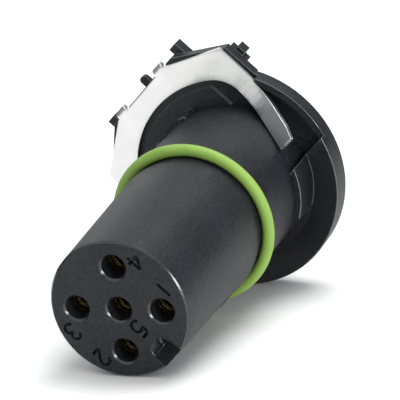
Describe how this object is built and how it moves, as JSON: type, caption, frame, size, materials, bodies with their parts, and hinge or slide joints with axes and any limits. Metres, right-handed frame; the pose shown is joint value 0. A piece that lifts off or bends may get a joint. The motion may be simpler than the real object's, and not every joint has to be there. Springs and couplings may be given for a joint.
{
  "type": "circular connector insert",
  "caption": "Round moulded socket insert with a coding slot, sealing ring, stepped flange and sprung shield clip, soldered to a board to take a plug's pins.",
  "frame": {"origin": "on the connector axis, in the plane of the board that the feet stand on", "axes": "+Y along the connector axis towards the board, mating face towards -Y, contact 4 towards +Z and contact 1 towards +X"},
  "size_m": [0.015, 0.0234, 0.015],
  "materials": {
    "moulding": "fine matte moulding",
    "ring": "smooth satin rubber",
    "sheet": "tinned, matte",
    "contact": "turned and plated"
  },
  "bodies": {
    "root": {"contact_carrier": "moulding", "mounting_flange": "moulding", "sealing_ring": "ring", "shield_clip": "sheet", "contact_1": "contact", "contact_2": "contact", "contact_3": "contact", "contact_4": "contact", "contact_5": "contact"}
  },
  "joints": []
}
